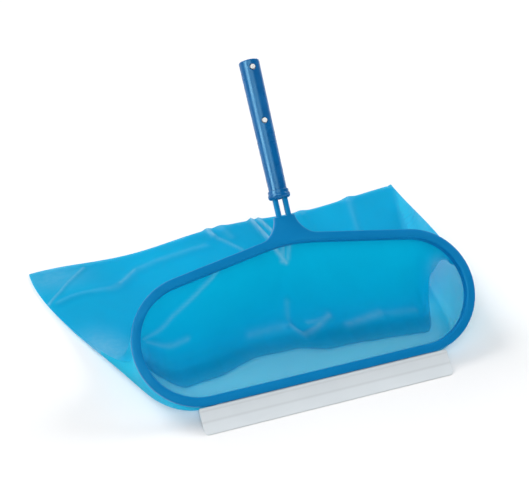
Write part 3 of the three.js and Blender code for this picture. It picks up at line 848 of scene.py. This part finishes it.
def density(grid, over):
    """How closely the mesh is gathered, from 1 down to below 0 where it is thinnest.

    It is closest along both sides and at the hoop, and thinnest where the top panel turns under.
    """
    rows, columns = grid.shape[:2]
    s = np.linspace(0, 1, columns)
    down = np.linspace(0, 1, rows)[:, None]
    side = SIDE_DENSE * np.maximum(faded(s, *LEFT_ZONE), faded(1 - s, *RIGHT_ZONE))
    along = faded(down, *SIDE_ZONE)
    dense = np.maximum(side * along, HEM_DENSE * faded(down, *HEM_ZONE))
    if not over:
        return dense - UNDER_THIN * along * (1 - side)
    dense = np.maximum(dense, faded(down, *HIGH_ZONE) * smooth_step(s, *HIGH_FROM))
    way = np.abs(np.arange(rows)[:, None] - grid[..., 1].argmin(0))
    return dense - TOE_THIN * slack_share() * np.exp(-((way / TOE_WIDE) ** 2))


def paint(mesh, name, values):
    """Stores one number for each point of the mesh."""
    layer = mesh.attributes.new(name, "FLOAT", "POINT")
    layer.data.foreach_set("value", values.ravel().astype(np.float32))


def panel_mesh(name, grid, fold_highlight, dense):
    """The grid as an object of its own, with the numbers that its cloth's look depends on."""
    rows, columns = grid.shape[:2]
    index = np.arange(rows * columns).reshape(rows, columns)
    corners = [index[:-1, :-1], index[:-1, 1:], index[1:, 1:], index[1:, :-1]]
    faces = np.stack([c.ravel() for c in corners], -1)
    mesh = bpy.data.meshes.new(name)
    mesh.from_pydata(grid.reshape(-1, 3).tolist(), [], faces.tolist())
    across = np.linspace(0, PANEL_WIDE, columns)
    along = np.linspace(0, PANEL_LONG[0], rows)
    uv = mesh.uv_layers.new(name="weave")
    at = faces.ravel()
    uv.data.foreach_set("uv", np.column_stack([across[at % columns], along[at // columns]]).ravel())
    # Strength of the painted highlight along the folds.
    paint(mesh, "fold_highlight", np.clip(fold_highlight, 0, 1))
    paint(mesh, "dense", dense)
    mesh.shade_smooth()
    made = bpy.data.objects.new(name, mesh)
    bpy.context.scene.collection.objects.link(made)
    return made


def add_panel(name, grid, fold_highlight, over, cloth):
    """One panel of the bag in its cloth, in place of its CAD solid."""
    made = panel_mesh(name, grid, fold_highlight, density(grid, over))
    made.data.materials.append(cloth)
    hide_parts(name + "_panel")
    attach(made, ROOT)
    return made


def add_bag():
    # Colour of the painted highlights on the cloth.
    pale = rgb(0.5, 0.84, 0.98)
    upper = mesh_cloth(
        "bag_mesh", rgb(0.0, 0.58, 0.87), rgb(0.0, 0.51, 0.8), pale, through=0.4, clear=0.23
    )
    # The same cloth as the top panel, painted lighter as painted light where it lies lit inside the
    # mouth, and less translucent and more open.
    under = mesh_cloth(
        "bag_mesh_painted_lighter", rgb(0.0, 0.72, 0.98), rgb(0.0, 0.65, 0.94), pale, through=0.3, clear=0.3
    )
    top, bottom = loft(True), loft(False)
    settle((top, bottom))
    # The top panel's folds, and its painted highlight.
    painted_highlight = fold(top, bottom)
    made = add_panel("bag_top", top, painted_highlight, True, upper)
    made = add_panel("bag_bottom", bottom, np.zeros(painted_highlight.shape), False, under)


# ---- the stage ----


def add_floor():
    n = Nodes("floor")
    where = n.where()
    soft = n.noise(where, 3.0, 2.0)
    shader = n.add(
        "ShaderNodeBsdfPrincipled",
        {
            "Base Color": n.blend(soft, rgb(0.93, 0.935, 0.94), rgb(0.95, 0.95, 0.955)),
            "Roughness": 0.7,
            "Specular IOR Level": 0.1,
        },
    )
    mesh = bpy.data.meshes.new("floor")
    turns = ((-1, -1), (1, -1), (1, 1), (-1, 1))
    corners = [(FLOOR_HALF * x, FLOOR_HALF * y, 0) for x, y in turns]
    mesh.from_pydata(corners, [], [(0, 1, 2, 3)])
    floor = bpy.data.objects.new("floor", mesh)
    floor.location.z = -FLOOR_DROP
    mesh.materials.append(n.finish(shader.outputs["BSDF"]))
    bpy.context.scene.collection.objects.link(floor)


def point_at(made, place, target):
    """Puts a light or the camera at its place, turned to the target."""
    made.location = place
    made.rotation_euler = (Vector(target) - Vector(place)).to_track_quat("-Z", "Y").to_euler()
    bpy.context.scene.collection.objects.link(made)


def add_shine(name, place, target, size, watts):
    """A panel that shows only as a soft highlight on smooth plastic."""
    lamp = bpy.data.lights.new(name, "AREA")
    lamp.shape = "RECTANGLE"
    lamp.size, lamp.size_y = size
    lamp.energy = watts
    made = bpy.data.objects.new(name, lamp)
    made.visible_diffuse = False
    made.visible_transmission = False
    point_at(made, place, target)


def add_sun(name, place, strength, softness):
    lamp = bpy.data.lights.new(name, "SUN")
    lamp.energy = strength
    lamp.angle = math.radians(softness)
    point_at(bpy.data.objects.new(name, lamp), place, (0, 0, 0))


def add_sky():
    """Even white light that doesn't show as a reflection."""
    world = bpy.data.worlds.new("studio")
    bpy.context.scene.world = world
    world.use_nodes = True
    background = world.node_tree.nodes["Background"]
    background.inputs["Color"].default_value = rgb(1.0, 1.0, 1.0)
    background.inputs["Strength"].default_value = SKY
    world.cycles_visibility.glossy = False


def add_camera():
    data = bpy.data.cameras.new("camera")
    data.lens = CAMERA_LENS
    data.sensor_width = 36.0
    data.clip_end = 60.0
    camera = bpy.data.objects.new("camera", data)
    point_at(camera, CAMERA_PLACE, CAMERA_AIM)
    bpy.context.scene.camera = camera


finish_nodes()
add_bag()
add_floor()
add_sky()
for sun in SUNS:
    add_sun(*sun)
add_shine("left_strip", (-1.6, -0.35, 1.05), (0.03, 0.02, 0.28), (0.6, 1.6), 32.0)
add_camera()
bpy.context.scene.view_settings.view_transform = "Standard"
